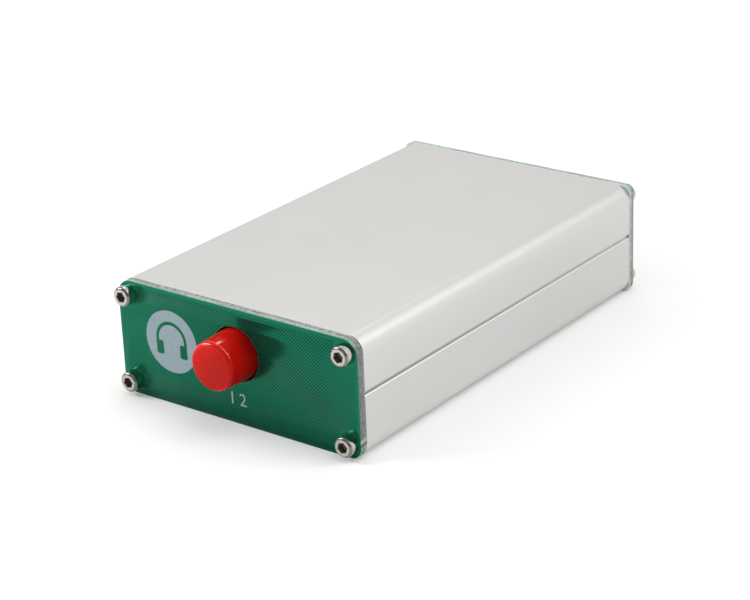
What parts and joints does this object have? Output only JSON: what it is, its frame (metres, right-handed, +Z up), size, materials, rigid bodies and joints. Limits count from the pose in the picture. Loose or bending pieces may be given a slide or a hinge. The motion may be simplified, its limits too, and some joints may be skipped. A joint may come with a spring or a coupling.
{
  "type": "headphone switch",
  "caption": "Flat silver aluminium box with green board end panels, a red latching push button in front and stereo sockets behind, for switching headphones.",
  "frame": {"origin": "middle of the flat underside of the box", "axes": "+X to the right seen from the button side, +Y to the rear along the box, +Z up"},
  "size_m": [0.066, 0.1207, 0.027],
  "materials": {
    "shell_anodised": "fine bead-blasted, clear anodised",
    "panel_board": "green solder mask on glass-epoxy board",
    "main_board": "green solder mask on glass-epoxy board",
    "screw_nickel": "nickel plated",
    "cap_red": "glossy moulded",
    "plunger_ivory": "moulded acetal",
    "switch_black": "moulded",
    "switch_base_brown": "phenolic sheet",
    "frame_steel": "tinned",
    "contact_bronze": "phosphor bronze",
    "spring_steel": "spring wire",
    "jack_black": "moulded",
    "bush_nickel": "nickel-plated brass",
    "solder": "bright solder"
  },
  "bodies": {
    "chassis": {"lower_shell": "shell_anodised", "upper_shell": "shell_anodised", "front_panel": "panel_board", "rear_panel": "panel_board", "front_panel_screws": "screw_nickel", "rear_panel_screws": "screw_nickel", "switch_housing": "switch_black", "switch_base": "switch_base_brown", "switch_terminals": "contact_bronze", "switch_frame": "frame_steel", "return_spring": "spring_steel", "main_board": "main_board", "solder_joints": "solder", "jack_nuts": "bush_nickel", "jack_washers": "bush_nickel", "common_jack_bush": "bush_nickel", "common_jack_housing": "jack_black", "common_jack_tip_contact": "contact_bronze", "common_jack_ring_contact": "contact_bronze", "common_jack_sleeve_contact": "contact_bronze", "output_1_jack_bush": "bush_nickel", "output_1_jack_housing": "jack_black", "output_1_jack_tip_contact": "contact_bronze", "output_1_jack_ring_contact": "contact_bronze", "output_1_jack_sleeve_contact": "contact_bronze", "output_2_jack_bush": "bush_nickel", "output_2_jack_housing": "jack_black", "output_2_jack_tip_contact": "contact_bronze", "output_2_jack_ring_contact": "contact_bronze", "output_2_jack_sleeve_contact": "contact_bronze"},
    "button": {"button_cap": "cap_red", "switch_plunger": "plunger_ivory", "moving_contact_left": "contact_bronze", "moving_contact_right": "contact_bronze"},
    "latch": {"latch_pin": "spring_steel"}
  },
  "joints": [
    {"name": "button_press", "type": "slide", "parent": "chassis", "child": "button", "axis": [0, 1, 0], "range_m": [0, 0.0035], "stiffness_N_per_m": 300, "springref_m": -0.002, "deforming": ["return_spring"]},
    {"name": "latch_swing", "type": "hinge", "parent": "chassis", "child": "latch", "pos_m": [0, -0.028, 0.01935], "axis": [0, 0, 1], "range_deg": [0, 5.2]}
  ],
  "couplings": [
    {"joint": "latch_swing", "follows": "button_press", "rad_per_m": 25.43}
  ]
}
